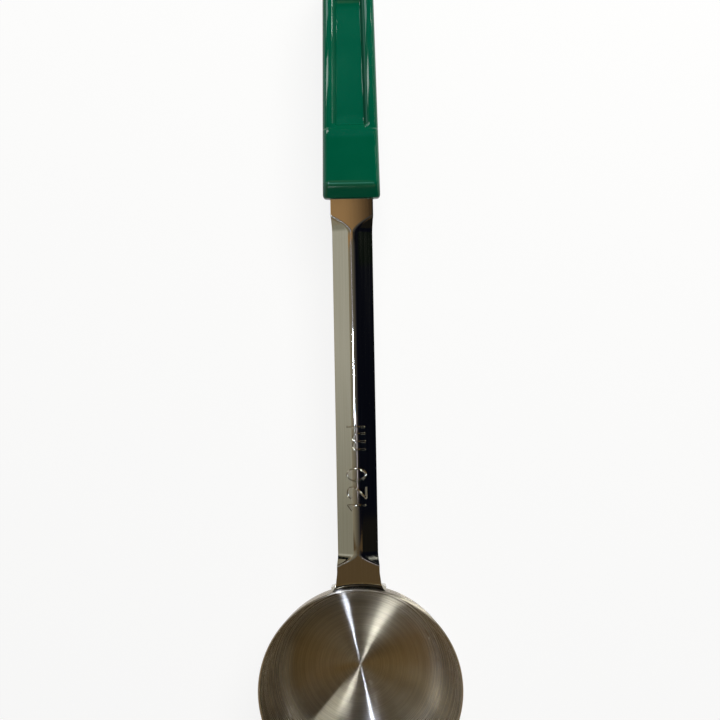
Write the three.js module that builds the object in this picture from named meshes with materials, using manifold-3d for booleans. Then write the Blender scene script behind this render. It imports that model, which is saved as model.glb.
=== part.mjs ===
// Portion spoon: a drawn steel bowl, a ridged steel handle strip welded to it, and a plastic grip
// moulded over the strip's end. Millimetres, +Z up, handle along +Y, origin at the bowl's base.
import * as THREE from 'three';
import { mergeVertices } from 'three/addons/utils/BufferGeometryUtils.js';
import Module from 'manifold-3d';

// Bowl: flat base, shallow belly, round corner and drafted wall, drawn from one sheet
const rimRadius = 42;
const bowlHeight = 30;
const bowlSheet = 0.9;
const baseRadius = 10;
const bellyRadius = 48;
const cornerRadius = 20;
const wallDraft = 8.5; // degrees off upright

// Handle strip: flat at both ends, pressed into a roof-shaped ridge between them
const stripThick = 1.5;
const stripWidth = 17.4;
const handleRun = 159.3; // rim to grip mouth
const ridgeSlope = 20; // degrees
const crestWidth = 3.8;
const ridgeFromRim = 9.2;
const ridgeFromMouth = 6.6;
const hipRunAtBowl = 5;
const hipRunAtGrip = 7;
const hipCurve = 1.6; // power of the curve in which the hips' fold lines run out to the edges

// Weld tab: the strip's end, bent down behind the rim and formed to the bowl's wall
const bendRadius = 1.5; // inside of the bend
const neckWidth = 18.4;
const neckRun = 4.5;
const tabWidth = 22;
const tabReach = 15.5; // down the wall, below the bend
const tabCorner = 4;

// Spot welds between tab and wall
const weldGap = 0.3;
const weldDiameter = 4.6;
const weldSeat = 0.05;
const weldPitchAcross = 10.5;
const weldPitchDown = 6.6;

// Tang: the strip's end inside the grip, narrower and pierced with lock holes
const tangShoulder = 5; // full width runs this far past the mouth
const tangTaper = 5;
const tangWidth = 13;
const tangEndCover = 9; // plastic past the tang's end, up to the hook
const lockHole = 6;
const lockHoles = 3;
const lockInset = 7;
const mouldClearance = 0.3;

// Grip: sloped nose, raised block, two rails with a recess between them, hooked tail
const gripRun = 87; // mouth to the start of the hook
const gripSideWall = 2.7; // plastic beside the strip at the mouth
const gripTaper = 2.9; // narrower at the hook than at the mouth
const gripEdgeRound = 2.5;
const edgeFlat = 0.2; // least straight side between two edge rounds
const noseRun = 6.2;
const noseTopRound = 2.4; // run of the nose's rounded upper edge
const noseCorner = 1.4;
const mouthWall = 0.75;
const blockRun = 26.8; // mouth to the back of the block
const blockHeight = 10.6;
const blockStep = 1.1;
const railHeight = 9.2;
const railWidth = 3.9;
const recessWall = 2.1; // run of the recess's sloped walls
const webCover = 1.15; // plastic over the tang at the recess floor
const recessTail = 3.5; // recess end to the start of the hook
const hookTipWidth = 17;
const hookTipHeight = 7;
const hookTipRun = 5; // straight stretch after the half turn
const hookTipRound = 2.7;
const hookTipEdge = 0.7; // least half height left by the tip's round

// Facets
const turnSteps = 72;
const arcSteps = 8;
const bendSteps = 6;
const cornerSteps = 4;
const hookSteps = 18;
const hipSteps = 8;
const discSteps = 20;
const mergeDistance = 1e-4;

const steel = { color: 0xb7b2a6, metalness: 1, roughness: 0.28 };
const satinSteel = { color: 0xa9a294, metalness: 1, roughness: 0.38 };
const greenPlastic = { color: 0x006447, metalness: 0, roughness: 0.3 };

const wasm = await Module();
wasm.setup();

const mix = THREE.MathUtils.lerp;
const radians = THREE.MathUtils.degToRad;

// Evenly spaced values from first to last, both included
function spread(first, last, steps) {
  return Array.from({ length: steps + 1 }, (_, i) => mix(first, last, i / steps));
}

// Distances from an end at which its rounded corners get a station
function cornerStations(radius) {
  return spread(0, Math.PI / 2, cornerSteps).map((angle) => radius * (1 - Math.cos(angle)));
}

// How much narrower a rounded corner is at a distance from the end that it rounds
function cornerInset(distance, radius) {
  if (distance >= radius) return 0;
  const reach = radius - distance;
  return radius - Math.sqrt(radius * radius - reach * reach);
}

function geometryOf(points, triangles) {
  const geometry = new THREE.BufferGeometry();
  geometry.setAttribute('position', new THREE.Float32BufferAttribute(points.flat(), 3));
  geometry.setIndex(triangles.flat());
  return geometry;
}

function solidOf(geometry) {
  const bare = geometry.clone();
  bare.deleteAttribute('normal');
  bare.deleteAttribute('uv');
  const merged = mergeVertices(bare, mergeDistance);
  return new wasm.Manifold(new wasm.Mesh({
    numProp: 3,
    vertProperties: new Float32Array(merged.attributes.position.array),
    triVerts: new Uint32Array(merged.index.array),
  }));
}

function geometryFrom(solid) {
  const mesh = solid.getMesh();
  const geometry = new THREE.BufferGeometry();
  geometry.setAttribute('position', new THREE.BufferAttribute(mesh.vertProperties, 3));
  geometry.setIndex(new THREE.BufferAttribute(mesh.triVerts, 1));
  return geometry;
}

// Closed sheet between an upper and a lower grid of points with the same rows and columns
function sheetBetween(upper, lower) {
  const rows = upper.length;
  const columns = upper[0].length;
  const at = (row, column) => row * columns + column;
  const below = rows * columns;
  const triangles = [];
  const quad = (a, b, c, d) => triangles.push([a, b, c], [a, c, d]);
  for (let i = 0; i + 1 < rows; i += 1) {
    for (let j = 0; j + 1 < columns; j += 1) {
      const corners = [at(i, j), at(i, j + 1), at(i + 1, j + 1), at(i + 1, j)];
      quad(...corners);
      quad(...corners.map((corner) => corner + below).reverse());
    }
    const last = columns - 1;
    quad(at(i, 0), at(i + 1, 0), at(i + 1, 0) + below, at(i, 0) + below);
    quad(at(i + 1, last), at(i, last), at(i, last) + below, at(i + 1, last) + below);
  }
  for (let j = 0; j + 1 < columns; j += 1) {
    const end = rows - 1;
    quad(at(0, j + 1), at(0, j), at(0, j) + below, at(0, j + 1) + below);
    quad(at(end, j), at(end, j + 1), at(end, j + 1) + below, at(end, j) + below);
  }
  return geometryOf([...upper.flat(), ...lower.flat()], triangles);
}

// Closed body through a row of rings, each a list of points that turns clockwise seen from the last ring
function loft(rings) {
  const count = rings[0].length;
  const triangles = [];
  for (let i = 0; i + 1 < rings.length; i += 1) {
    for (let j = 0; j < count; j += 1) {
      const next = (j + 1) % count;
      const a = i * count + j;
      const b = i * count + next;
      triangles.push([a, b + count, b], [a, a + count, b + count]);
    }
  }
  const middle = (ring) => [0, 1, 2].map((axis) => ring.reduce((sum, p) => sum + p[axis], 0) / count);
  const points = rings.flat();
  const start = points.length;
  const lastRing = (rings.length - 1) * count;
  for (let j = 0; j < count; j += 1) {
    const next = (j + 1) % count;
    triangles.push([start, j, next], [start + 1, lastRing + next, lastRing + j]);
  }
  return geometryOf([...points, middle(rings[0]), middle(rings.at(-1))], triangles);
}

// The bowl's outer profile turns from level to the wall's lean in two arcs. The rim is rounded by half
// the sheet, so the wall's line, carried up to the rim's height, passes just outside the rim.
const wallTurn = radians(90 - wallDraft);
const rimRound = bowlSheet / 2;
const wallTop = rimRadius - rimRound * (1 - Math.sin(wallTurn))
  + rimRound * (1 + Math.cos(wallTurn)) / Math.tan(wallTurn);
const arcRise = bellyRadius - cornerRadius;
const arcReach = wallTop - baseRadius - cornerRadius * Math.sin(wallTurn)
  - (bowlHeight - bellyRadius + cornerRadius * Math.cos(wallTurn)) / Math.tan(wallTurn);
const bellyTurn = wallTurn - Math.acos(Math.sin(wallTurn) * arcReach / arcRise);
const bellyCentre = [baseRadius, bellyRadius];
const cornerCentre = [
  baseRadius + arcRise * Math.sin(bellyTurn),
  bellyRadius - arcRise * Math.cos(bellyTurn),
];
const wallFoot = cornerCentre[1] - cornerRadius * Math.cos(wallTurn);
const wallLength = (bowlHeight - wallFoot) / Math.sin(wallTurn);

// Radius and height on the bowl's outside, a distance down from the rim's level and moved out by a gap
function wallProfile(down, gap) {
  if (down <= wallLength) {
    return [
      wallTop - down * Math.cos(wallTurn) + gap * Math.sin(wallTurn),
      bowlHeight - down * Math.sin(wallTurn) - gap * Math.cos(wallTurn),
    ];
  }
  const cornerLength = cornerRadius * (wallTurn - bellyTurn);
  const intoBelly = Math.max(0, down - wallLength - cornerLength);
  const angle = intoBelly > 0
    ? bellyTurn - intoBelly / bellyRadius
    : wallTurn - (down - wallLength) / cornerRadius;
  const centre = intoBelly > 0 ? bellyCentre : cornerCentre;
  const radius = (intoBelly > 0 ? bellyRadius : cornerRadius) + gap;
  return [centre[0] + radius * Math.sin(angle), centre[1] - radius * Math.cos(angle)];
}

// The same place beside the handle's centre line, on the round of the bowl
function wallPoint(x, down, gap) {
  const [radius, height] = wallProfile(down, gap);
  return [x, Math.sqrt(radius * radius - x * x), height];
}

function bowlGeometry() {
  const arc = (centre, radius, from, to) => spread(from, to, arcSteps).map((angle) => (
    [centre[0] + radius * Math.sin(angle), centre[1] - radius * Math.cos(angle)]));
  const skin = (inset) => [
    [0, inset],
    ...arc(bellyCentre, bellyRadius - inset, 0, bellyTurn),
    ...arc(cornerCentre, cornerRadius - inset, bellyTurn, wallTurn).slice(1),
  ];
  const rim = spread(wallTurn, wallTurn + Math.PI, cornerSteps).map((angle) => [
    rimRadius - rimRound + rimRound * Math.sin(angle),
    bowlHeight - rimRound - rimRound * Math.cos(angle),
  ]);
  const profile = [...skin(0), ...rim, ...skin(bowlSheet).reverse()];
  const lathe = new THREE.LatheGeometry(profile.map(([r, z]) => new THREE.Vector2(r, z)), turnSteps);
  lathe.rotateX(Math.PI / 2);
  return geometryFrom(solidOf(lathe));
}

// Stations along the handle
const mouthAt = rimRadius + handleRun;
const stripTop = bowlHeight;
const stripMiddle = stripTop - stripThick / 2;
const ridgeStart = rimRadius + ridgeFromRim;
const ridgeEnd = mouthAt - ridgeFromMouth;
const tangEnd = gripRun - tangEndCover; // past the mouth
const halfStrip = stripWidth / 2;
const slopeAngle = radians(ridgeSlope);
const crestBlend = crestWidth / 4;

// Half width of the strip's level top: narrow on the ridge, past the edges where the strip is flat
function levelHalf(y) {
  const atBowl = (y - ridgeStart) / hipRunAtBowl;
  const atGrip = (ridgeEnd - y) / hipRunAtGrip;
  const folded = THREE.MathUtils.clamp(Math.min(atBowl, atGrip), 0, 1);
  return crestBlend + halfStrip * (1 - folded) ** hipCurve;
}

// Folding the sides down draws the strip's edges in
function foldedHalf(y) {
  const side = Math.max(0, halfStrip - levelHalf(y));
  return halfStrip - side * (1 - Math.cos(slopeAngle));
}

// Fall of the upper face below the crest and its slope, beside the centre line
function ridgeFall(x, y) {
  const past = Math.abs(x) - levelHalf(y);
  const steep = Math.tan(slopeAngle);
  if (past <= -crestBlend) return { fall: 0, slope: 0 };
  if (past >= crestBlend) return { fall: steep * past, slope: steep };
  const share = (past + crestBlend) / (2 * crestBlend);
  return { fall: steep * crestBlend * share * share, slope: steep * share };
}

// Columns across the strip, as shares of its half width, closer on the crest
const rightShares = [0.08, 0.16, 0.24, 0.4, 0.6, 0.8, 1];
const across = [...rightShares.map((share) => -share).reverse(), 0, ...rightShares];

// Bend from the wall's lean to level, given on the upper face, which is the outside of the bend
const bendOuter = bendRadius + stripThick;
const bendCentreHeight = stripTop - bendOuter;
const bendFoot = (bowlHeight - weldGap * Math.cos(wallTurn) - bendCentreHeight
  - bendOuter * Math.cos(wallTurn)) / Math.sin(wallTurn);
const bendCentreRadius = wallProfile(bendFoot, weldGap + bendOuter)[0];

function tabRows() {
  const stations = [
    ...cornerStations(tabCorner).map((fromEnd) => tabReach - fromEnd),
    ...spread(tabReach - tabCorner, 0, arcSteps).slice(1, -1),
  ];
  return stations.map((below) => {
    const half = tabWidth / 2 - cornerInset(tabReach - below, tabCorner);
    const place = (gap) => across.map((share) => wallPoint(share * half, bendFoot + below, gap));
    return { upper: place(weldGap), lower: place(weldGap + stripThick) };
  });
}

function bendRows() {
  return spread(wallTurn, 0, bendSteps).map((angle) => {
    const turned = 1 - angle / wallTurn;
    const half = mix(tabWidth, neckWidth, turned) / 2;
    const place = (radius) => across.map((share) => {
      const x = share * half;
      const reach = bendCentreRadius - radius * Math.sin(angle);
      return [x, Math.sqrt(reach * reach - x * x), bendCentreHeight + radius * Math.cos(angle)];
    });
    return { upper: place(bendOuter), lower: place(bendRadius) };
  });
}

// Half width of the strip past the bend: neck, ridge, shoulder inside the grip and tang
function stripHalf(y) {
  const neck = THREE.MathUtils.smoothstep(bendCentreRadius + neckRun - y, 0, neckRun);
  const narrowing = THREE.MathUtils.smoothstep(y - mouthAt - tangShoulder, 0, tangTaper);
  return mix(mix(foldedHalf(y), neckWidth / 2, neck), tangWidth / 2, narrowing);
}

function flatRows() {
  const shoulder = mouthAt + tangShoulder;
  const stations = [
    ...spread(bendCentreRadius, ridgeStart, bendSteps).slice(1),
    ...spread(ridgeStart, ridgeStart + hipRunAtBowl, hipSteps).slice(1),
    ...spread(ridgeEnd - hipRunAtGrip, ridgeEnd, hipSteps),
    mouthAt,
    ...spread(shoulder, shoulder + tangTaper, cornerSteps),
    mouthAt + tangEnd,
  ];
  return stations.map((y) => {
    const half = stripHalf(y);
    const round = 1 - THREE.MathUtils.smoothstep(y, bendCentreRadius, ridgeStart);
    const upper = [];
    const lower = [];
    across.forEach((share) => {
      const x = share * half;
      const shift = round * (Math.sqrt(bendCentreRadius ** 2 - x * x) - bendCentreRadius);
      const { fall, slope } = ridgeFall(x, y);
      const lean = Math.atan(slope);
      upper.push([x, y + shift, stripTop - fall]);
      lower.push([
        x - Math.sign(x) * stripThick * Math.sin(lean),
        y + shift,
        stripTop - fall - stripThick * Math.cos(lean),
      ]);
    });
    return { upper, lower };
  });
}

function uprightPin(radius, y) {
  const pin = new THREE.CylinderGeometry(radius, radius, blockHeight, discSteps);
  pin.rotateX(Math.PI / 2);
  pin.translate(0, y, stripMiddle);
  return solidOf(pin);
}

const lockPlaces = spread(mouthAt + blockRun + lockInset, mouthAt + tangEnd - lockInset, lockHoles - 1);

function stripGeometry() {
  const rows = [...tabRows(), ...bendRows(), ...flatRows()];
  let strip = solidOf(sheetBetween(rows.map((row) => row.upper), rows.map((row) => row.lower)));
  lockPlaces.forEach((y) => {
    strip = strip.subtract(uprightPin(lockHole / 2, y));
  });
  return geometryFrom(strip);
}

// Thin lens between tab and wall, round when it is laid flat
function weldGeometry(x, down) {
  const turns = spread(0, 2 * Math.PI, discSteps).slice(0, -1);
  const disc = (gap, radius) => turns.map((turn) => (
    wallPoint(x + radius * Math.cos(turn), down + radius * Math.sin(turn), gap)));
  const radius = weldDiameter / 2;
  const inner = weldSeat;
  const outer = weldGap - weldSeat;
  return loft([disc(outer, radius / 2), disc(outer, radius), disc(inner, radius), disc(inner, radius / 2)]);
}

// Space that the strip takes up inside the grip, with its lock holes left filled
function tangSpace() {
  const grown = mouldClearance;
  const shoulder = mouthAt + tangShoulder;
  const stations = [
    mouthAt - noseRun,
    ...spread(shoulder, shoulder + tangTaper, cornerSteps),
    mouthAt + tangEnd + grown,
  ];
  const level = (z) => stations.map((y) => {
    const half = stripHalf(Math.max(y, mouthAt)) + grown;
    return [[-half, y, z], [half, y, z]];
  });
  let space = solidOf(sheetBetween(level(stripTop + grown), level(stripTop - stripThick - grown)));
  lockPlaces.forEach((y) => {
    space = space.subtract(uprightPin(lockHole / 2 - grown, y));
  });
  return space;
}

// The hook is a half turn that brings the tail's underside down to the level of the bowl's base
const hookRadius = (stripMiddle - hookTipHeight / 2) / 2;
const hookLength = Math.PI * hookRadius;
const tailLength = gripRun + hookLength + hookTipRun;
const tipRound = Math.min(hookTipRound, hookTipHeight / 2 - hookTipEdge);
const tangHalf = stripThick / 2 + mouldClearance;
const gripFrontWidth = stripWidth + 2 * (mouldClearance + gripSideWall);

// Place and upward direction on the grip's centre line, a distance past the mouth
function gripFrame(along) {
  const turn = THREE.MathUtils.clamp((along - gripRun) / hookRadius, 0, Math.PI);
  const before = Math.min(along, gripRun);
  const after = Math.max(0, along - gripRun - hookLength);
  return {
    y: mouthAt + before + hookRadius * Math.sin(turn) - after,
    z: stripMiddle - hookRadius * (1 - Math.cos(turn)),
    up: [Math.sin(turn), Math.cos(turn)],
  };
}

// Rise from 0 to 1 at a steady slope that levels out in a round over the last stretch
function roundedRamp(along, run, round) {
  const left = run - along;
  if (left <= 0) return 1;
  const slope = 1 / (run - round / 2);
  return left < round ? 1 - slope * left * left / (2 * round) : slope * along;
}

// Half width, half height and recess depth of the grip's section
function gripSection(along) {
  const onHook = THREE.MathUtils.clamp((along - gripRun) / hookLength, 0, 1);
  const tapered = gripFrontWidth - gripTaper * Math.min(along / gripRun, 1);
  const fullHalf = mix(tapered, hookTipWidth, onHook) / 2;
  const nose = mix(tangHalf + mouthWall, blockHeight / 2, roundedRamp(along, noseRun, noseTopRound));
  const rail = mix(railHeight, hookTipHeight, onHook) / 2;
  const behindBlock = THREE.MathUtils.smoothstep(along - blockRun, 0, blockStep);
  const intoRecess = THREE.MathUtils.smoothstep(along - blockRun, 0, recessWall);
  const outOfRecess = THREE.MathUtils.smoothstep(gripRun - recessTail - along, 0, recessWall);
  const tipInset = cornerInset(tailLength - along, tipRound);
  return {
    width: fullHalf - cornerInset(along, noseCorner) - tipInset,
    half: mix(nose, rail, behindBlock) - tipInset,
    recess: fullHalf - railWidth,
    depth: (railHeight / 2 - tangHalf - webCover) * Math.min(intoRecess, outOfRecess),
  };
}

// Section points, clockwise seen from the grip's tail: edge rounds, rails and recess floor
function gripRing(along) {
  const { width, half, recess, depth } = gripSection(along);
  const round = Math.min(gripEdgeRound, half - edgeFlat);
  const edge = spread(0, Math.PI / 2, cornerSteps).map((angle) => (
    [width - round + round * Math.cos(angle), half - round + round * Math.sin(angle)]));
  const wall = spread(0, 1, cornerSteps).map((share) => [
    Math.min(recess, width - round) - recessWall * share,
    half - depth * THREE.MathUtils.smoothstep(share, 0, 1),
  ]);
  const quarter = [...edge, ...wall];
  const upperLeft = quarter.map(([x, n]) => [-x, n]).reverse();
  const lowerLeft = quarter.map(([x, n]) => [-x, -n]);
  const lowerRight = quarter.map(([x, n]) => [x, -n]).reverse();
  const { y, z, up } = gripFrame(along);
  return [...quarter, ...upperLeft, ...lowerLeft, ...lowerRight]
    .map(([x, n]) => [x, y + n * up[0], z + n * up[1]]);
}

function gripGeometry() {
  const recessEnd = gripRun - recessTail;
  const stations = [
    ...cornerStations(noseCorner),
    ...spread(noseRun - noseTopRound, noseRun, cornerSteps),
    ...spread(blockRun, blockRun + recessWall, arcSteps),
    ...spread(recessEnd - recessWall, recessEnd, cornerSteps),
    ...spread(gripRun, gripRun + hookLength, hookSteps),
    ...cornerStations(tipRound).reverse().map((fromTip) => tailLength - fromTip),
  ];
  const body = solidOf(loft(stations.map(gripRing)));
  return geometryFrom(body.subtract(tangSpace()));
}

const spoon = new THREE.Group();
spoon.name = 'portion_spoon';

function addPiece(name, geometry, finish) {
  geometry.computeVertexNormals();
  const piece = new THREE.Mesh(geometry, new THREE.MeshStandardMaterial(finish));
  piece.name = name;
  spoon.add(piece);
}

addPiece('bowl', bowlGeometry(), satinSteel);
addPiece('handle_strip', stripGeometry(), steel);
addPiece('grip', gripGeometry(), greenPlastic);

const weldMiddle = bendFoot + tabReach / 2;
[['upper', -1], ['lower', 1]].forEach(([level, downward]) => {
  [['left', -1], ['right', 1]].forEach(([side, sideward]) => {
    const down = weldMiddle + downward * weldPitchDown / 2;
    addPiece(`weld_${level}_${side}`, weldGeometry(sideward * weldPitchAcross / 2, down), steel);
  });
});

export default spoon;
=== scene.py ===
import math

import bmesh
import bpy
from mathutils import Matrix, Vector


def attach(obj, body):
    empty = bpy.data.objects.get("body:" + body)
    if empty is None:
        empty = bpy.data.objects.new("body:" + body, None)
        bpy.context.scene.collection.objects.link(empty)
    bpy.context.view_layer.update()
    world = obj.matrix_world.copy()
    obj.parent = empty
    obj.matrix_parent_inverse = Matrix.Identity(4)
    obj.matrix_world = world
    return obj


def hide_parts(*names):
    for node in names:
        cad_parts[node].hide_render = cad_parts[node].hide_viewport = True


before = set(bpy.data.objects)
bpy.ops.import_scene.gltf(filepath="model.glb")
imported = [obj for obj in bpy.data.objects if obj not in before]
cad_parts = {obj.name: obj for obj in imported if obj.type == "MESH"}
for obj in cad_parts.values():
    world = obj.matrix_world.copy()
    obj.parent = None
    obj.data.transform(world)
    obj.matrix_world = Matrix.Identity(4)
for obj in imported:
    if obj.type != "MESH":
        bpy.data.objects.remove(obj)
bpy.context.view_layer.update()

mm = 0.001
slack = 0.001  # millimetres by which two places may differ and still be the same
print("frame loaded:", sorted(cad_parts))


def mix(low, high, share):
    return low + (high - low) * share


def smoothStep(value, low, high):
    share = min(max((value - low) / (high - low), 0), 1)
    return share * share * (3 - 2 * share)


def spread(first, last, steps):
    return [mix(first, last, step / steps) for step in range(steps + 1)]


def chain(stops, counts):  # places from stop to stop, each stretch cut into its own number of steps
    places = [stops[0]]
    for start, end, steps in zip(stops, stops[1:], counts):
        places += spread(start, end, steps)[1:]
    return places


def metres(*lengths):
    return tuple(length * mm for length in lengths)


def startPiece(name):  # the primitive that was just added gets its name and is opened for editing
    piece = bpy.context.object
    piece.name = piece.data.name = name
    bpy.ops.object.mode_set(mode="EDIT")
    return piece


def pickEdges(piece, allowed):  # selects the edges with both ends where the test allows, in millimetres
    bpy.ops.mesh.select_mode(type="EDGE")
    bpy.ops.mesh.select_all(action="DESELECT")
    shape = bmesh.from_edit_mesh(piece.data)
    for edge in shape.edges:
        if all(allowed(end.co / mm) for end in edge.verts):
            edge.select_set(True)
    bmesh.update_edit_mesh(piece.data)


def closePiece(piece):  # doubles merged, faces turned out, back to object mode
    bpy.ops.mesh.select_all(action="SELECT")
    bpy.ops.mesh.remove_doubles(threshold=slack / 2 * mm)
    bpy.ops.mesh.normals_make_consistent(inside=False)
    bpy.ops.object.mode_set(mode="OBJECT")
    bpy.ops.object.transform_apply(location=True, rotation=True, scale=True)


def weigh(piece, name, share):  # vertex group whose weights follow the place, in millimetres
    group = piece.vertex_groups.new(name=name)
    for corner in piece.data.vertices:
        weight = share(corner.co / mm)
        if weight > 0:
            group.add([corner.index], weight, "REPLACE")
    return name


def finishWith(piece, kind, **settings):  # one modifier, set and applied
    bpy.context.view_layer.objects.active = piece
    step = piece.modifiers.new(kind.title(), kind)
    for name, value in settings.items():
        setattr(step, name, value)
    bpy.ops.object.modifier_apply(modifier=step.name)


def pressBy(piece, direction, depth, name, share):  # moves places by up to depth along one axis
    finishWith(piece, "DISPLACE", direction=direction, strength=depth * mm, mid_level=0,
               vertex_group=weigh(piece, name, share))


def shadeSmooth(piece, angle):
    bpy.ops.object.select_all(action="DESELECT")
    piece.select_set(True)
    bpy.context.view_layer.objects.active = piece
    bpy.ops.object.shade_smooth_by_angle(angle=math.radians(angle))


# Bowl: one drawn sheet, modelled as a small disc that is drawn out ring by ring, up the outside,
# over the rim and down the inside
bowl = {
    "rimRadius": 42, "height": 30, "sheet": 0.9, "baseRadius": 10, "bellyRadius": 48, "cornerRadius": 20,
    "wallDraft": 8.5, "discRadius": 2, "around": 192, "arcSteps": 18, "rimSteps": 10, "shadeAngle": 50,
}
# Belly and corner are two arcs that run into each other and into the straight, leaning wall
wallTurn = math.radians(90 - bowl["wallDraft"])
rimRound = bowl["sheet"] / 2
wallTop = (bowl["rimRadius"] - rimRound * (1 - math.sin(wallTurn))
           + rimRound * (1 + math.cos(wallTurn)) / math.tan(wallTurn))
arcRise = bowl["bellyRadius"] - bowl["cornerRadius"]
arcReach = (wallTop - bowl["baseRadius"] - bowl["cornerRadius"] * math.sin(wallTurn)
            - (bowl["height"] - bowl["bellyRadius"] + bowl["cornerRadius"] * math.cos(wallTurn))
            / math.tan(wallTurn))
bellyTurn = wallTurn - math.acos(math.sin(wallTurn) * arcReach / arcRise)
bellyCentre = (bowl["baseRadius"], bowl["bellyRadius"])
cornerCentre = (bowl["baseRadius"] + arcRise * math.sin(bellyTurn),
                bowl["bellyRadius"] - arcRise * math.cos(bellyTurn))
wallFoot = cornerCentre[1] - bowl["cornerRadius"] * math.cos(wallTurn)
wallLength = (bowl["height"] - wallFoot) / math.sin(wallTurn)


def arc(centre, radius, start, end, steps):  # radius and height on an arc that starts level
    return [(centre[0] + radius * math.sin(turn), centre[1] - radius * math.cos(turn))
            for turn in spread(start, end, steps)]


def skin(inset):  # the bowl's profile from the middle to the top of the corner
    return [(bowl["discRadius"], inset),
            *arc(bellyCentre, bowl["bellyRadius"] - inset, 0, bellyTurn, bowl["arcSteps"]),
            *arc(cornerCentre, bowl["cornerRadius"] - inset, bellyTurn, wallTurn, bowl["arcSteps"])[1:]]


def makeBowl():
    rimMiddle = (bowl["rimRadius"] - rimRound, bowl["height"] - rimRound)
    rim = arc(rimMiddle, rimRound, wallTurn, wallTurn + math.pi, bowl["rimSteps"])
    profile = [*skin(0), *rim, *reversed(skin(bowl["sheet"]))]
    bpy.ops.object.select_all(action="DESELECT")
    bpy.ops.mesh.primitive_circle_add(vertices=bowl["around"], radius=profile[0][0] * mm, fill_type="TRIFAN")
    piece = startPiece("drawn_bowl")
    pickEdges(piece, lambda place: place.length > profile[0][0] / 2)
    for (radius, height), (nextRadius, nextHeight) in zip(profile, profile[1:]):
        bpy.ops.mesh.extrude_region_move(TRANSFORM_OT_translate={"value": metres(0, 0, nextHeight - height)})
        widen = nextRadius / radius
        bpy.ops.transform.resize(value=(widen, widen, 1), center_override=(0, 0, 0))
    bpy.ops.mesh.merge(type="CENTER")
    closePiece(piece)
    shadeSmooth(piece, bowl["shadeAngle"])
    return piece


# Handle strip: a flat sheet drawn out row by row, bent down and formed to the bowl, pressed into a ridge,
# then given its thickness and broken edges
strip = {
    "thick": 1.5, "width": 17.4, "mouthAt": 201.3, "slope": 20, "crestWidth": 4.8, "ridgeFromRim": 9.2,
    "ridgeFromMouth": 6.6, "hipAtBowl": 5, "hipAtGrip": 7, "hipCurve": 1.6, "bendRadius": 1.5,
    "neckWidth": 18.4, "neckRun": 4.5, "tabWidth": 22, "tabReach": 15.5, "tabCorner": 4, "wallGap": 0.3,
    "tangShoulder": 5, "tangTaper": 5, "tangWidth": 13, "tangEnd": 279.3, "columns": 72, "edgeRound": 0.25,
    "weldAcross": 10.5, "weldDown": 6.6, "dimpleWidth": 5.2, "dimpleDepth": 0.16, "dimpleCurve": 0.7,
    "rowSteps": (12, 24, 52, 30, 6, 6),  # bend to hip, hip, ridge, hip, mouth, taper of the tang
    "bendSteps": 12, "wallSteps": 16, "cornerSteps": 8, "tipRests": (2.8, 1.9, 1.2, 0.7, 0.3),
    "edgeSegments": 3, "edgeAngle": 60, "shadeAngle": 35, "leanLimit": 2,
}
stripTop = bowl["height"]
halfStrip = strip["width"] / 2
ridgeStart = bowl["rimRadius"] + strip["ridgeFromRim"]
ridgeEnd = strip["mouthAt"] - strip["ridgeFromMouth"]
crestBlend = strip["crestWidth"] / 4
steepness = math.tan(math.radians(strip["slope"]))
tangStart = strip["mouthAt"] + strip["tangShoulder"]
taperEnd = tangStart + strip["tangTaper"]
# The bend turns about a point below the strip, and bendFoot is how far down the wall it ends
bendOuter = strip["bendRadius"] + strip["thick"]
bendHeight = stripTop - bendOuter
bendReach = strip["wallGap"] + bendOuter
bendFoot = (bowl["height"] - bendHeight - bendReach * math.cos(wallTurn)) / math.sin(wallTurn)
bendAt = wallTop - bendFoot * math.cos(wallTurn) + bendReach * math.sin(wallTurn)


def levelHalf(y):  # half width of the strip's level top, narrow on the ridge
    atBowl = (y - ridgeStart) / strip["hipAtBowl"]
    atGrip = (ridgeEnd - y) / strip["hipAtGrip"]
    folded = min(max(min(atBowl, atGrip), 0), 1)
    return crestBlend + halfStrip * (1 - folded) ** strip["hipCurve"]


def ridgeFall(place):  # how far the pressed sides lie below the crest
    past = abs(place.x) - levelHalf(place.y)
    if past <= -crestBlend:
        return 0
    if past >= crestBlend:
        return steepness * past
    return steepness * (past + crestBlend) ** 2 / (4 * crestBlend)


def stripHalf(y):
    folded = halfStrip - max(0, halfStrip - levelHalf(y)) * (1 - math.cos(math.radians(strip["slope"])))
    neck = smoothStep(bendAt + strip["neckRun"] - y, 0, strip["neckRun"])
    tang = smoothStep(y, tangStart, taperEnd)
    return mix(mix(folded, strip["neckWidth"] / 2, neck), strip["tangWidth"] / 2, tang)


def roundTheBowl(place):  # how far the tab and the bend lean back to follow the bowl's round
    if place.y > ridgeStart:
        return 0
    reach = min(place.y, bendAt)
    fade = 1 - smoothStep(place.y, bendAt, ridgeStart)
    return fade * (reach - math.sqrt(reach * reach - place.x * place.x))


def tabHalf(below):  # half width of the tab, with round lower corners
    inward = max(0, below - strip["tabReach"] + strip["tabCorner"])
    corner = strip["tabCorner"] - math.sqrt(max(0, strip["tabCorner"] ** 2 - inward ** 2))
    return strip["tabWidth"] / 2 - corner


def gapToBowl(place):  # distance out from the bowl's wall
    reach = math.hypot(place.x, place.y)
    if place.z < wallFoot:
        return math.hypot(reach - cornerCentre[0], place.z - cornerCentre[1]) - bowl["cornerRadius"]
    return (reach - wallTop + (bowl["height"] - place.z) / math.tan(wallTurn)) * math.sin(wallTurn)


def dimple(place):  # electrode marks of the spot welds, on the tab's outside only
    if place.y > bendAt or gapToBowl(place) < strip["wallGap"] + strip["thick"] / 2:
        return 0
    down = bowl["height"] - place.z - bendFoot - strip["tabReach"] / 2
    away = math.hypot(abs(place.x) - strip["weldAcross"] / 2, abs(down) - strip["weldDown"] / 2)
    return max(0, 1 - (2 * away / strip["dimpleWidth"]) ** 2) ** strip["dimpleCurve"]


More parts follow.
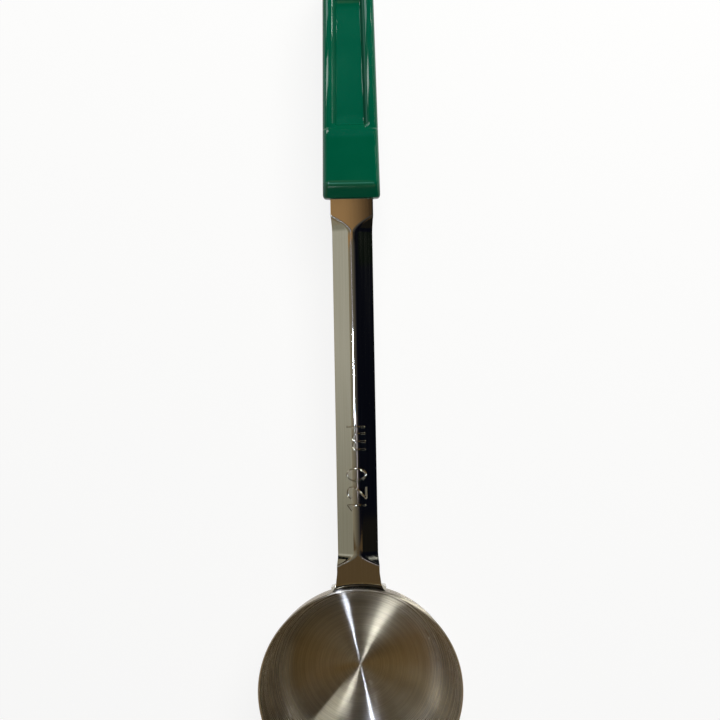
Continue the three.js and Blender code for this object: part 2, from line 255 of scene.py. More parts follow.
# Capacity mark: plain single-stroke figures across the crest, each stroke pressed in as a round groove
# that follows the roof. A figure has its width and its strokes, for a height of 1
mark = {"words": "120 ml", "height": 7.7, "middleAt": 91, "between": 0.36, "space": 0.3, "toolRadius": 0.55,
        "toolSteps": 4, "depth": 0.22, "step": 0.04}


def bow(centre, radii, start, end, steps=24):  # arc of an ellipse, in degrees
    turns = [math.radians(turn) for turn in spread(start, end, steps)]
    return [(centre[0] + radii[0] * math.cos(turn), centre[1] + radii[1] * math.sin(turn)) for turn in turns]


figures = {
    "1": (0.28, [[(0, 0.78), (0.28, 1), (0.28, 0)]]),
    "2": (0.6, [[*bow((0.3, 0.7), (0.3, 0.3), 170, -36), (0, 0), (0.6, 0)]]),
    "0": (0.62, [bow((0.31, 0.5), (0.31, 0.5), 0, 360, 48)]),
    "m": (0.84, [[(0, 0), (0, 0.66)], [*bow((0.21, 0.45), (0.21, 0.21), 180, 0), (0.42, 0)],
                 [*bow((0.63, 0.45), (0.21, 0.21), 180, 0), (0.84, 0)]]),
    "l": (0, [[(0, 0), (0, 1)]]),
    " ": (mark["space"], []),
}


def markStrokes():  # every stroke as close points on the strip, read from the bowl towards the grip
    widths = [figures[letter][0] for letter in mark["words"]]
    begin = -(sum(widths) + mark["between"] * (len(widths) - 1)) / 2
    for letter in mark["words"]:
        width, strokes = figures[letter]
        for stroke in strokes:
            points = [stroke[0]]
            for (u, v), (nextU, nextV) in zip(stroke, stroke[1:]):
                pieces = max(1, round(math.hypot(nextU - u, nextV - v) / mark["step"]))
                points += list(zip(spread(u, nextU, pieces), spread(v, nextV, pieces)))[1:]
            yield [((0.5 - v) * mark["height"], mark["middleAt"] + (begin + u) * mark["height"])
                   for u, v in points]
        begin += width + mark["between"]


def pressFigures(piece):
    tread = stripTop + mark["toolRadius"] - mark["depth"]
    for points in markStrokes():
        closed = math.dist(points[0], points[-1]) < slack
        if closed:
            points = points[:-1]
        bpy.ops.object.select_all(action="DESELECT")
        bpy.ops.curve.primitive_nurbs_path_add()
        tool = bpy.context.object
        tool.data.bevel_depth = mark["toolRadius"] * mm
        tool.data.bevel_resolution = mark["toolSteps"]
        tool.data.use_fill_caps = True
        tool.data.splines.clear()
        line = tool.data.splines.new("POLY")
        line.points.add(len(points) - 1)
        line.use_cyclic_u = closed
        for point, (x, y) in zip(line.points, points):
            point.co = (*metres(x, y, tread - ridgeFall(Vector((x, y, 0)))), 1)
        bpy.ops.object.convert(target="MESH")
        bpy.ops.object.mode_set(mode="EDIT")
        closePiece(tool)
        finishWith(piece, "BOOLEAN", operation="DIFFERENCE", solver="MANIFOLD", object=tool)
        bpy.data.objects.remove(tool)


def makeStrip():
    rows = chain((bendAt, ridgeStart, ridgeStart + strip["hipAtBowl"], ridgeEnd - strip["hipAtGrip"],
                  ridgeEnd, tangStart, taperEnd), strip["rowSteps"])
    rows.append(strip["tangEnd"])
    firstGap = mix(rows[0], rows[1], 0.5)
    bpy.ops.object.select_all(action="DESELECT")
    bpy.ops.mesh.primitive_grid_add(x_subdivisions=strip["columns"], y_subdivisions=1, size=mm)
    piece = startPiece("pressed_handle_strip")
    bpy.ops.transform.resize(value=(2 * stripHalf(rows[0]), rows[1] - rows[0], 1), center_override=(0, 0, 0))
    bpy.ops.transform.translate(value=metres(0, firstGap, stripTop))

    # Along the handle
    pickEdges(piece, lambda place: place.y > firstGap)
    bpy.ops.transform.resize(value=(stripHalf(rows[1]) / stripHalf(rows[0]), 1, 1),
                             center_override=(0, 0, 0))
    for y, nextY in zip(rows[1:], rows[2:]):
        bpy.ops.mesh.extrude_region_move(TRANSFORM_OT_translate={"value": metres(0, nextY - y, 0)})
        bpy.ops.transform.resize(value=(stripHalf(nextY) / stripHalf(y), 1, 1), center_override=(0, 0, 0))

    # Bend behind the rim, widening on the way
    pickEdges(piece, lambda place: place.y < firstGap)
    half = stripHalf(rows[0])
    for nextHalf in spread(half, strip["tabWidth"] / 2, strip["bendSteps"])[1:]:
        bpy.ops.mesh.extrude_region_move()
        bpy.ops.transform.rotate(value=-wallTurn / strip["bendSteps"], orient_axis="X",
                                 center_override=metres(0, bendAt, bendHeight))
        bpy.ops.transform.resize(value=(nextHalf / half, 1, 1), center_override=(0, 0, 0))
        half = nextHalf

    # Tab, straight down the wall and then in with the corner
    straight = wallLength - bendFoot
    belows = chain((0, straight, strip["tabReach"] - strip["tabCorner"]),
                   (strip["wallSteps"], strip["cornerSteps"]))
    belows += [strip["tabReach"] - rest for rest in (*strip["tipRests"], 0)]
    for below, nextBelow in zip(belows, belows[1:]):
        nextHalf = tabHalf(nextBelow)
        along = nextBelow - below
        if nextBelow <= straight + slack:
            step = metres(0, -along * math.cos(wallTurn), -along * math.sin(wallTurn))
            bpy.ops.mesh.extrude_region_move(TRANSFORM_OT_translate={"value": step})
        else:
            bpy.ops.mesh.extrude_region_move()
            bpy.ops.transform.rotate(value=along / bowl["cornerRadius"], orient_axis="X",
                                     center_override=metres(0, *cornerCentre))
        bpy.ops.transform.resize(value=(nextHalf / half, 1, 1), center_override=(0, 0, 0))
        half = nextHalf
    bpy.ops.object.mode_set(mode="OBJECT")
    bpy.ops.object.transform_apply(location=True, rotation=True, scale=True)

    # Formed to the bowl and pressed into the ridge, by weights that stay under 1
    leanLimit, deepest = strip["leanLimit"], steepness * halfStrip
    pressBy(piece, "Y", -leanLimit, "roundTheBowl", lambda place: roundTheBowl(place) / leanLimit)
    pressBy(piece, "Z", -deepest, "ridge", lambda place: ridgeFall(place) / deepest
            if ridgeStart <= place.y <= ridgeEnd else 0)
    finishWith(piece, "SOLIDIFY", thickness=strip["thick"] * mm, offset=-1, use_even_offset=True)
    finishWith(piece, "BEVEL", width=strip["edgeRound"] * mm, segments=strip["edgeSegments"],
               limit_method="ANGLE", angle_limit=math.radians(strip["edgeAngle"]))
    pressBy(piece, "NORMAL", -strip["dimpleDepth"], "weldDimples", dimple)
    pressFigures(piece)
    shadeSmooth(piece, strip["shadeAngle"])
    return piece


# Grip: one moulding, a rounded section drawn out from the mouth over nose, block, rails and hook
grip = {
    "run": 87, "frontWidth": 23.4, "taper": 2.9, "edgeRound": 2.5, "edgeSteps": 8, "topCuts": 99,
    "mouthHeight": 3.6, "mouthRound": 0.35, "noseRun": 6.2, "noseTopRound": 2.4, "noseCorner": 1.4,
    "noseKeep": 0.4, "blockRun": 26.8, "blockHeight": 10.6, "blockStep": 1.1, "railHeight": 9.2,
    "railWidth": 2.6, "recessWall": 3.2, "recessDepth": 2.4, "recessTail": 3.5, "browShare": 0.92,
    "tipWidth": 17, "tipHeight": 7, "tipRun": 5, "tipRound": 2.7, "clearance": 0.3, "shadeAngle": 40,
    "mouthSteps": 4, "cornerSteps": 8, "hookSteps": 56, "tipSteps": 10,
    "noseSteps": (3, 10, 1, 6),  # slope, round, the flat that keeps the edge crisp, block
    "recessSteps": (18, 12, 14, 3),  # front wall, floor, back wall, tail
}
gripMiddle = stripTop - strip["thick"] / 2
hookRadius = (gripMiddle - grip["tipHeight"] / 2) / 2
hookLength = math.pi * hookRadius
hookEnd = grip["run"] + hookLength
tailLength = hookEnd + grip["tipRun"]
hookAt = strip["mouthAt"] + grip["run"]
recessEnd = grip["run"] - grip["recessTail"]


def roundEnd(distance, radius):  # how far a round draws in at a distance from the end that it rounds
    left = max(0, radius - distance)
    return radius - math.sqrt(radius * radius - left * left)


def roundStations(radius, steps):
    return [radius * (1 - math.cos(turn)) for turn in spread(0, math.pi / 2, steps)]


def noseRamp(along):  # steady slope that levels out in a round
    left = grip["noseRun"] - along
    if left <= 0:
        return 1
    slope = 1 / (grip["noseRun"] - grip["noseTopRound"] / 2)
    if left < grip["noseTopRound"]:
        return 1 - slope * left * left / (2 * grip["noseTopRound"])
    return slope * along


def gripHalves(along):  # half width and half height of the grip past the mouth
    onHook = min(max((along - grip["run"]) / hookLength, 0), 1)
    tapered = grip["frontWidth"] - grip["taper"] * min(along / grip["run"], 1)
    width = mix(tapered, grip["tipWidth"], onHook) / 2
    nose = mix(grip["mouthHeight"], grip["blockHeight"], noseRamp(along)) / 2
    rail = mix(grip["railHeight"], grip["tipHeight"], onHook) / 2
    height = mix(nose, rail, smoothStep(along, grip["blockRun"], grip["blockRun"] + grip["blockStep"]))
    tip = roundEnd(tailLength - along, grip["tipRound"])
    mouth = roundEnd(along, grip["mouthRound"])
    return width - roundEnd(along, grip["noseCorner"]) - tip, height - mouth - tip


def wallFall(inside):  # share of the recess's depth behind its edge: a round brow, then a tighter foot
    width, depth = grip["recessWall"], grip["recessDepth"]
    turn = 2 * math.atan2(depth, width)
    rounds = width / math.sin(turn)
    brow = grip["browShare"] * rounds
    foot = rounds - brow
    at = min(max(inside, 0), width)
    if at < brow * math.sin(turn):
        return (brow - math.sqrt(brow * brow - at * at)) / depth
    return 1 - (foot - math.sqrt(foot * foot - (width - at) ** 2)) / depth


def recessShare(place):  # depth of the recess between the rails, as a share of its full depth
    along = place.y - strip["mouthAt"]
    edge = gripHalves(along)[0] - grip["railWidth"]
    return (wallFall(along - grip["blockRun"]) * wallFall(recessEnd - along)
            * wallFall(edge - abs(place.x)))


def makeGrip():
    noseEnd, blockEnd, wall = grip["noseRun"], grip["blockRun"], grip["recessWall"]
    corner = roundStations(grip["noseCorner"], grip["cornerSteps"])
    stops = (grip["noseCorner"], noseEnd - grip["noseTopRound"], noseEnd, noseEnd + grip["noseKeep"],
             blockEnd, blockEnd + wall, recessEnd - wall, recessEnd, grip["run"], hookEnd)
    stations = [*roundStations(grip["mouthRound"], grip["mouthSteps"]),
                *[along for along in corner if along > grip["mouthRound"]],
                *chain(stops, (*grip["noseSteps"], *grip["recessSteps"], grip["hookSteps"]))[1:],
                *[tailLength - rest for rest in reversed(roundStations(grip["tipRound"], grip["tipSteps"]))]]
    stations.sort()
    bpy.ops.object.select_all(action="DESELECT")
    bpy.ops.mesh.primitive_plane_add(size=mm)
    piece = startPiece("moulded_grip")
    bpy.ops.transform.rotate(value=math.pi / 2, orient_axis="X", center_override=(0, 0, 0))
    bpy.ops.transform.resize(value=(grip["frontWidth"], 1, grip["blockHeight"]), center_override=(0, 0, 0))
    bpy.ops.mesh.bevel(affect="VERTICES", offset=grip["edgeRound"] * mm, segments=grip["edgeSteps"])
    bpy.ops.mesh.delete(type="ONLY_FACE")
    flatHalf = grip["blockHeight"] / 2
    pickEdges(piece, lambda place: abs(place.z) > flatHalf - slack)
    bpy.ops.mesh.subdivide(number_cuts=grip["topCuts"])
    bpy.ops.mesh.select_all(action="SELECT")
    bpy.ops.transform.translate(value=metres(0, strip["mouthAt"], gripMiddle))
    width, height = gripHalves(0)
    middle = (strip["mouthAt"], gripMiddle)
    bpy.ops.transform.resize(value=(2 * width / grip["frontWidth"], 1, 2 * height / grip["blockHeight"]),
                             center_override=metres(0, *middle))

    for along, nextAlong in zip(stations, stations[1:]):
        turn = (min(nextAlong, hookEnd) - max(along, grip["run"])) / hookRadius
        if turn > 0 and along < hookEnd - slack:
            bpy.ops.mesh.extrude_region_move()
            bpy.ops.transform.rotate(value=turn, orient_axis="X",
                                     center_override=metres(0, hookAt, gripMiddle - hookRadius))
        else:
            forward = (nextAlong - along) * (1 if along < grip["run"] else -1)
            bpy.ops.mesh.extrude_region_move(TRANSFORM_OT_translate={"value": metres(0, forward, 0)})
        turned = min(max((nextAlong - grip["run"]) / hookRadius, 0), math.pi)
        after = max(0, nextAlong - hookEnd)
        middle = (strip["mouthAt"] + min(nextAlong, grip["run"]) + hookRadius * math.sin(turned) - after,
                  gripMiddle - hookRadius * (1 - math.cos(turned)))
        nextWidth, nextHeight = gripHalves(nextAlong)
        flatter = nextHeight / height
        bpy.ops.transform.resize(value=(nextWidth / width, flatter, flatter),
                                 center_override=metres(0, *middle))
        width, height = nextWidth, nextHeight
    bpy.ops.mesh.edge_face_add()

    # Pocket for the tang
    width, height = gripHalves(0)
    room = 2 * grip["clearance"]
    pocket = [(0, strip["width"] + room), (strip["tangShoulder"], strip["width"] + room),
              (strip["tangShoulder"] + strip["tangTaper"], strip["tangWidth"] + room),
              (strip["tangEnd"] - strip["mouthAt"] + grip["clearance"], strip["tangWidth"] + room)]
    pickEdges(piece, lambda place: place.y < strip["mouthAt"] + slack)
    bpy.ops.mesh.extrude_region_move()
    bpy.ops.transform.resize(value=(pocket[0][1] / (2 * width), 1, (strip["thick"] + room) / (2 * height)),
                             center_override=metres(0, strip["mouthAt"], gripMiddle))
    for (along, across), (nextAlong, nextAcross) in zip(pocket, pocket[1:]):
        bpy.ops.mesh.extrude_region_move(TRANSFORM_OT_translate={"value": metres(0, nextAlong - along, 0)})
        bpy.ops.transform.resize(value=(nextAcross / across, 1, 1), center_override=(0, 0, 0))
    bpy.ops.mesh.edge_face_add()
    closePiece(piece)

    # Recess above and below, in the grip's skin and not in its pocket
    outside = (strip["thick"] + grip["recessDepth"]) / 2
    pressBy(piece, "Z", -grip["recessDepth"], "upperRecess", lambda place: recessShare(place)
            if place.z > gripMiddle + outside else 0)
    pressBy(piece, "Z", grip["recessDepth"], "lowerRecess", lambda place: recessShare(place)
            if gripMiddle - grip["railHeight"] < place.z < gripMiddle - outside else 0)
    shadeSmooth(piece, grip["shadeAngle"])
    return piece


def linear(code):  # sRGB hex to linear colour
    shares = [int(code[place:place + 2], 16) / 255 for place in (1, 3, 5)]
    bent = [share / 12.92 if share <= 0.04045 else ((share + 0.055) / 1.055) ** 2.4 for share in shares]
    return (*bent, 1)


def addNode(tree, kind, inputs=None, **settings):  # a node with its settings, values and links
    node = tree.nodes.new("ShaderNode" + kind)
    for name, value in settings.items():
        setattr(node, name, value)
    for name, value in (inputs or {}).items():
        if isinstance(value, bpy.types.NodeSocket):
            tree.links.new(value, node.inputs[name])
        else:
            node.inputs[name].default_value = value
    return node


def startMaterial(name):
    material = bpy.data.materials.new(name)
    material.use_nodes = True
    material.node_tree.nodes.clear()
    return material, material.node_tree


def dress(piece, material):
    piece.data.materials.clear()
    piece.data.materials.append(material)


# Stainless sheet, brushed in circles on a turning fixture: a lamp draws out into a fan from the middle
brushed = {"steel": "#b9b0a2", "dark": "#a89d8c", "roughness": (0.22, 0.32), "anisotropy": 0.9,
           "grainTurn": 0.25, "lineSpacing": 0.5, "lineLength": 60, "lineContrast": (0.25, 0.75),
           "bandWidth": 4, "grooveDepth": 0.012, "fanOnFloor": 0.85, "fanOnWall": 0.3, "fanShadeEdge": (29, 35),
           "fanRoughness": 0.275, "fanAnisotropy": 0.92}


def brushedStainless():
    material, tree = startMaterial("stainless_brushed_in_circles")
    place = addNode(tree, "TexCoord").outputs["Object"]
    parts = addNode(tree, "SeparateXYZ", {"Vector": place}).outputs
    level = addNode(tree, "CombineXYZ", {"X": parts["X"], "Y": parts["Y"]}).outputs["Vector"]
    radius = addNode(tree, "VectorMath", {0: level}, operation="LENGTH").outputs["Value"]
    profile = addNode(tree, "Math", {0: radius, 1: parts["Z"]}, operation="ADD").outputs["Value"]
    outward = addNode(tree, "VectorMath", {0: level}, operation="NORMALIZE").outputs["Vector"]
    around = addNode(tree, "VectorMath", {0: outward, "Scale": bowl["rimRadius"] / brushed["lineLength"]},
                     operation="SCALE").outputs["Vector"]
    aroundParts = addNode(tree, "SeparateXYZ", {"Vector": around}).outputs
    across = addNode(tree, "Math", {0: profile, 1: 1 / (brushed["lineSpacing"] * mm)},
                     operation="MULTIPLY").outputs["Value"]
    lines = addNode(tree, "CombineXYZ", {"X": across, "Y": aroundParts["X"], "Z": aroundParts["Y"]})
    scratches = addNode(tree, "TexNoise", {"Vector": lines.outputs["Vector"], "Scale": 1, "Detail": 3,
                                           "Roughness": 0.6}).outputs["Fac"]
    bandAcross = addNode(tree, "Math", {0: profile, 1: 1 / (brushed["bandWidth"] * mm)},
                         operation="MULTIPLY").outputs["Value"]
    bands = addNode(tree, "TexNoise", {"W": bandAcross, "Scale": 1, "Detail": 2},
                    noise_dimensions="1D").outputs["Fac"]
    tint = addNode(tree, "Mix", {0: bands, 6: linear(brushed["dark"]), 7: linear(brushed["steel"])},
                   data_type="RGBA").outputs[2]
    low, high = brushed["roughness"]
    faint, strong = brushed["lineContrast"]
    rough = addNode(tree, "MapRange", {"Value": scratches, "From Min": faint, "From Max": strong,
                                       "To Min": low, "To Max": high}).outputs["Result"]
    grooves = addNode(tree, "Bump", {"Height": scratches, "Strength": 1,
                                     "Distance": brushed["grooveDepth"] * mm}).outputs["Normal"]
    turning = addNode(tree, "Tangent", direction_type="RADIAL", axis="Z").outputs["Tangent"]
    steel = addNode(tree, "BsdfPrincipled", {
        "Base Color": tint, "Metallic": 1, "Roughness": rough, "Anisotropic": brushed["anisotropy"],
        "Anisotropic Rotation": brushed["grainTurn"], "Tangent": turning, "Normal": grooves})
    fan = addNode(tree, "BsdfGlossy", {
        "Color": tint, "Roughness": brushed["fanRoughness"], "Anisotropy": brushed["fanAnisotropy"],
        "Tangent": turning, "Normal": grooves})
    # Painted shade: past these radii the bright fan gives way to the plain brushed steel, standing in for
    # the rim that keeps the lamps off the outer floor and the wall
    edgeStart, edgeEnd = metres(*brushed["fanShadeEdge"])
    share = addNode(tree, "MapRange", {"Value": radius, "From Min": edgeStart, "From Max": edgeEnd,
                                       "To Min": brushed["fanOnFloor"], "To Max": brushed["fanOnWall"]})
    both = addNode(tree, "MixShader", {0: share.outputs["Result"], 1: steel.outputs["BSDF"],
                                       2: fan.outputs["BSDF"]})
    addNode(tree, "OutputMaterial", {"Surface": both.outputs["Shader"]})
    return material


# Stainless strip, polished along its length: clear reflections with a soft edge and faint long lines
polished = {"steel": "#bab4a8", "dark": "#aba596", "roughness": (0.05, 0.09), "lineSpacing": 0.6,
            "lineLength": 45, "lineContrast": (0.3, 0.7), "lineDepth": 0.0012}


def polishedStainless():
    material, tree = startMaterial("stainless_polished_lengthwise")
    place = addNode(tree, "TexCoord").outputs["Object"]
    acrossGrain, alongGrain = 1 / (polished["lineSpacing"] * mm), 1 / (polished["lineLength"] * mm)
    stretch = (acrossGrain, alongGrain, acrossGrain)
    lengthwise = addNode(tree, "VectorMath", {0: place, 1: stretch}, operation="MULTIPLY").outputs["Vector"]
    lines = addNode(tree, "TexNoise", {"Vector": lengthwise, "Scale": 1, "Detail": 2}).outputs["Fac"]
    tint = addNode(tree, "Mix", {0: lines, 6: linear(polished["dark"]), 7: linear(polished["steel"])},
                   data_type="RGBA").outputs[2]
    low, high = polished["roughness"]
    faint, strong = polished["lineContrast"]
    rough = addNode(tree, "MapRange", {"Value": lines, "From Min": faint, "From Max": strong,
                                       "To Min": low, "To Max": high}).outputs["Result"]
    fine = addNode(tree, "Bump", {"Height": lines, "Strength": 1,
                                  "Distance": polished["lineDepth"] * mm}).outputs["Normal"]
    steel = addNode(tree, "BsdfPrincipled", {"Base Color": tint, "Metallic": 1, "Roughness": rough,
                                             "Normal": fine})
    addNode(tree, "OutputMaterial", {"Surface": steel.outputs["BSDF"]})
    return material


# Polypropylene, injection moulded in a polished tool: deep even green, soft gloss, faint flow clouds
moulded = {"green": "#005e43", "deep": "#00553b", "roughness": (0.06, 0.12), "cloud": 14,
           "cloudContrast": (0.3, 0.7), "ripple": 1.6, "rippleDepth": 0.004, "ior": 1.49}


def mouldedGreen():
    material, tree = startMaterial("polypropylene_moulded_green")
    place = addNode(tree, "TexCoord").outputs["Object"]
    clouds = addNode(tree, "TexNoise", {"Vector": place, "Scale": 1 / (moulded["cloud"] * mm),
                                        "Detail": 2}).outputs["Fac"]
    ripple = addNode(tree, "TexNoise", {"Vector": place, "Scale": 1 / (moulded["ripple"] * mm),
                                        "Detail": 1}).outputs["Fac"]
    tint = addNode(tree, "Mix", {0: clouds, 6: linear(moulded["deep"]), 7: linear(moulded["green"])},
                   data_type="RGBA").outputs[2]
    low, high = moulded["roughness"]
    faint, strong = moulded["cloudContrast"]
    rough = addNode(tree, "MapRange", {"Value": clouds, "From Min": faint, "From Max": strong,
                                       "To Min": low, "To Max": high}).outputs["Result"]
    surface = addNode(tree, "Bump", {"Height": ripple, "Strength": 1,
                                     "Distance": moulded["rippleDepth"] * mm}).outputs["Normal"]
    plastic = addNode(tree, "BsdfPrincipled", {"Base Color": tint, "Roughness": rough, "IOR": moulded["ior"],
                                               "Normal": surface})
    addNode(tree, "OutputMaterial", {"Surface": plastic.outputs["BSDF"]})
    return material


bowlPiece = makeBowl()
print("bowl drawn:", len(bowlPiece.data.polygons), "faces")
stripPiece = makeStrip()
print("handle strip pressed:", len(stripPiece.data.polygons), "faces")
gripPiece = makeGrip()
print("grip moulded:", len(gripPiece.data.polygons), "faces")

brushedSteel = brushedStainless()
polishedSteel = polishedStainless()
greenPlastic = mouldedGreen()
for piece, material, node, slot in (
        (bowlPiece, brushedSteel, "bowl", "brushed_stainless"),
        (stripPiece, polishedSteel, "handle_strip", "polished_stainless"),
        (gripPiece, greenPlastic, "grip", "green_plastic")):
    dress(piece, material)
    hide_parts(node)
    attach(piece, "root")
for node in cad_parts.values():
    if node.name.startswith("weld"):
        dress(node, polishedSteel)
print("finishes set")

# Camera straight above the handle, with a small turn
view = {"place": (2.23, 135.4, 347.8), "turn": -1.046, "lens": 38.95, "sensor": 36, "nearest": 10}
bpy.ops.object.camera_add(location=metres(*view["place"]), rotation=(0, 0, math.radians(view["turn"])))
camera = bpy.context.object
camera.data.lens = view["lens"]
camera.data.sensor_width = view["sensor"]
camera.data.clip_start = view["nearest"] * mm
scene = bpy.context.scene
scene.camera = camera
scene.view_settings.view_transform = "Standard"


def seenDirectly(tree):  # 1 for rays from the camera and for what is mirrored or seen through
    rays = addNode(tree, "LightPath").outputs
    mirrored = addNode(tree, "Math", {0: rays["Is Glossy Ray"], 1: rays["Is Transmission Ray"]},
                       operation="MAXIMUM").outputs["Value"]
    return addNode(tree, "Math", {0: rays["Is Camera Ray"], 1: mirrored},
                   operation="MAXIMUM").outputs["Value"]


# Floor: white paper with the soft shadow left in it, which runs out into the white behind
floor = {"size": 12, "paper": "#fafaf8", "lift": 0.85, "sweepStart": 0.3, "sweepEnd": 1.5}  # metres
bpy.ops.mesh.primitive_plane_add(size=floor["size"])
floorPiece = bpy.context.object
floorPiece.name = "white_floor"
material, tree = startMaterial("white_paper")
paper = addNode(tree, "BsdfDiffuse", {"Color": linear(floor["paper"])}).outputs["BSDF"]
glow = addNode(tree, "Emission", {"Strength": 1}).outputs["Emission"]
place = addNode(tree, "TexCoord").outputs["Object"]
away = addNode(tree, "VectorMath", {0: place}, operation="LENGTH").outputs["Value"]
sweep = addNode(tree, "MapRange", {"Value": away, "From Min": floor["sweepStart"],
                                   "From Max": floor["sweepEnd"], "To Min": floor["lift"],
                                   "To Max": 1}).outputs["Result"]
lift = addNode(tree, "Math", {0: seenDirectly(tree), 1: sweep}, operation="MULTIPLY").outputs["Value"]
shown = addNode(tree, "MixShader", {0: lift, 1: paper, 2: glow}).outputs["Shader"]
addNode(tree, "OutputMaterial", {"Surface": shown})
dress(floorPiece, material)

# World: white to the camera and in reflections, soft fill for the rest
studio = {"fill": 0.12}
world = bpy.data.worlds.new("studio")
scene.world = world
world.use_nodes = True
tree = world.node_tree
tree.nodes.clear()
level = addNode(tree, "MapRange", {"Value": seenDirectly(tree), "To Min": studio["fill"],
                                   "To Max": 1}).outputs["Result"]
back = addNode(tree, "Background", {"Color": linear("#ffffff"), "Strength": level}).outputs["Background"]
addNode(tree, "OutputWorld", {"Surface": back})
print("camera, floor and world set")

# Lamps: soft_top is large and gives colour and shadow. Only the shine sees the others, which draw the bright
# fans in the bowl and the lines along crest, rails and nose. Places and sizes are in millimetres
lamps = {
    "soft_top": {"place": (300, 1000, 950), "width": 900, "length": 900, "turn": 0, "watts": 20,
                 "tint": "#fffdf8"},
    "left_beam": {"place": (-64, 119, 480), "width": 12, "length": 87, "turn": 12, "watts": 0.6,
                  "tint": "#cadcff"},
    "left_line": {"place": (-82, 210, 480), "width": 12, "length": 95, "turn": 12, "watts": 0.006,
                  "tint": "#d0d4ff"},
    "right_beam": {"place": (-58, -345, 480), "width": 27, "length": 80, "turn": -19, "watts": 0.5,
                   "tint": "#f2fcff"},
    "low_beam": {"place": (385, 357, 310), "width": 240, "length": 110, "turn": -34, "watts": 3.6,
                 "tint": "#f0f6f0"},
    "crest_line": {"place": (45, 40, 480), "width": 14, "length": 80, "turn": 0, "watts": 0.008,
                   "tint": "#e8e4ff"},
    "rail_spot": {"place": (-60, 291, 134), "width": 80, "length": 16, "turn": 0, "watts": 0.025,
                  "tint": "#ffffff"},
    "tail_spot": {"place": (-60, 345, 134), "width": 80, "length": 52, "turn": 0, "watts": 0.045,
                  "tint": "#f0f6ff"},
    "nose_line": {"place": (0, 199, 65), "width": 30, "length": 20, "turn": 0, "tilt": 90, "watts": 0.005,
                  "tint": "#90ffec"},
}
for name, lamp in lamps.items():
    tilt, turn = math.radians(lamp.get("tilt", 0)), math.radians(lamp["turn"])
    bpy.ops.object.light_add(type="AREA", location=metres(*lamp["place"]), rotation=(tilt, 0, turn))
    light = bpy.context.object
    light.name = light.data.name = name
    light.data.shape = "RECTANGLE"
    light.data.size, light.data.size_y = metres(lamp["width"], lamp["length"])
    light.data.energy = lamp["watts"]
    light.data.color = linear(lamp["tint"])[:3]
    light.visible_camera = False
    light.visible_diffuse = name == "soft_top"
    light.visible_glossy = not light.visible_diffuse

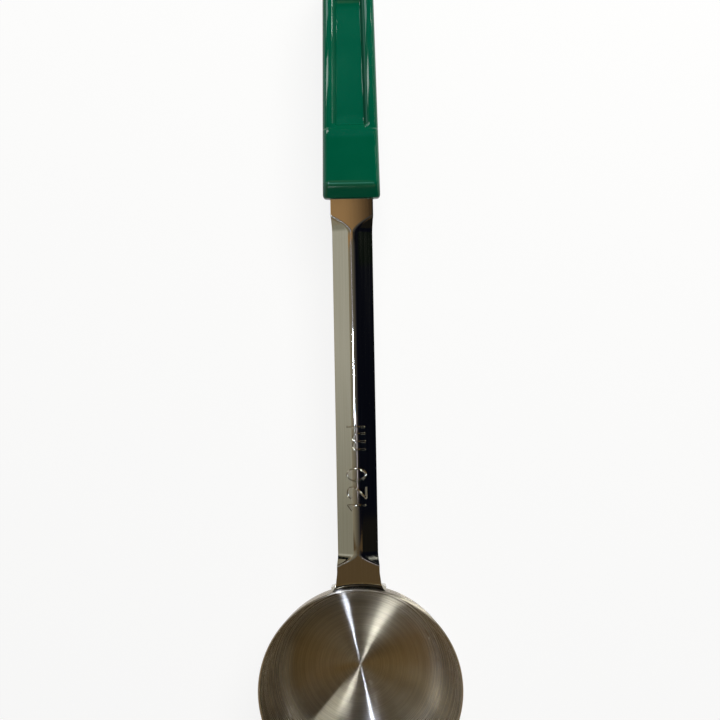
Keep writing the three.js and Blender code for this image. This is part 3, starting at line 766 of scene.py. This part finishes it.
# Cards round and over the table: only the shine sees them, so the steel has something darker than white
# to mirror. Each is a flat sheet between two corners, in millimetres, plain or fading along one axis
cards = {
    "left_card": {"corners": ((-600, -240, 520), (-300, 308, 520)), "colours": ("#aeafa3", "#dadcd4"),
                  "fade": ("Y", -60, 140)},
    "left_edge": {"corners": ((-900, -240, 520), (-600, 308, 520)), "colours": ("#b09868",)},
    "crest_card": {"corners": ((-300, -60, 520), (180, 262, 520)), "colours": ("#b2ac98", "#0a0c26"),
                   "fade": ("X", -300, 180)},
    "middle_flag": {"corners": ((180, -60, 520), (650, 308, 520)), "colours": ("#0d101c",)},
    "neck_card": {"corners": ((-300, -140, 520), (300, -60, 520)), "colours": ("#6e5c42",)},
    "neck_shade": {"corners": ((-34, -400, 519), (34, -140, 519)), "colours": ("#6a5738",)},
    "front_card": {"corners": ((-300, -900, 520), (300, -140, 520)), "colours": ("#16120c", "#b0935c"),
                   "fade": ("Y", -560, -360)},
    "left_front": {"corners": ((-900, -900, 520), (-300, -240, 520)), "colours": ("#94703a",)},
    "front_hip": {"corners": ((-640, -600, 519), (-480, -240, 519)), "colours": ("#b0ac9c",)},
    "right_front": {"corners": ((300, -900, 520), (900, -60, 520)), "colours": ("#1f1e1c",)},
    "right_edge": {"corners": ((650, -60, 520), (900, 308, 520)), "colours": ("#95998d",)},
    "grip_card": {"corners": ((-300, 262, 520), (180, 308, 520)), "colours": ("#c8a274", "#0c0c10"),
                  "fade": ("X", -10, 20)},
    "grip_flag": {"corners": ((-900, 308, 520), (900, 700, 520)), "colours": ("#0c1512",)},
    "back_hip": {"corners": ((-480, 308, 519), (-330, 500, 519)), "colours": ("#8e8c7e",)},
    "sky_card": {"corners": ((-120, 390, 519), (120, 700, 519)), "colours": ("#2c6070",)},
    "front_left": {"corners": ((-900, -900, 40), (-150, -900, 520)), "colours": ("#a8a498",)},
    "front_right": {"corners": ((-150, -900, 40), (900, -900, 520)), "colours": ("#3c3a36",)},
    "back_left": {"corners": ((-900, 700, 40), (-150, 700, 520)), "colours": ("#a8a494",)},
    "back_right": {"corners": ((-150, 700, 40), (900, 700, 520)), "colours": ("#2c2a26",)},
    "left_side": {"corners": ((-900, -900, 40), (-900, 700, 520)), "colours": ("#d8e4f4",)},
    "right_side": {"corners": ((900, -900, 40), (900, 700, 520)), "colours": ("#d0cec0",)},
    # These two keep low_beam off the grip and off the hip at the bowl
    "grip_shade": {"corners": ((120, 196, 60), (120, 335, 175)), "colours": ("#0c1512",)},
    "hip_shade": {"corners": ((40, 67, 42), (40, 112, 82)), "colours": ("#0d101c",)},
}
for name, card in cards.items():
    low, high = card["corners"]
    bpy.ops.mesh.primitive_cube_add(size=mm)
    piece = startPiece(name)
    bpy.ops.transform.resize(value=[high[axis] - low[axis] for axis in range(3)], center_override=(0, 0, 0))
    bpy.ops.transform.translate(value=[(low[axis] + high[axis]) / 2 * mm for axis in range(3)])
    bpy.ops.mesh.remove_doubles(threshold=mm)
    bpy.ops.object.mode_set(mode="OBJECT")
    bpy.ops.object.transform_apply(location=True, rotation=True, scale=True)
    material, tree = startMaterial(name)
    glow = addNode(tree, "Emission", {"Color": linear(card["colours"][0])})
    addNode(tree, "OutputMaterial", {"Surface": glow.outputs["Emission"]})
    if "fade" in card:
        axis, start, end = card["fade"]
        place = addNode(tree, "TexCoord").outputs["Object"]
        along = addNode(tree, "SeparateXYZ", {"Vector": place}).outputs[axis]
        share = addNode(tree, "MapRange", {"Value": along, "From Min": start * mm, "From Max": end * mm})
        fade = addNode(tree, "Mix", {0: share.outputs["Result"], 6: linear(card["colours"][0]),
                                     7: linear(card["colours"][1])}, data_type="RGBA")
        tree.links.new(fade.outputs[2], glow.inputs["Color"])
    dress(piece, material)
    piece.visible_camera = piece.visible_diffuse = False
    piece.visible_shadow = piece.visible_transmission = False
print("lamps and cards placed")
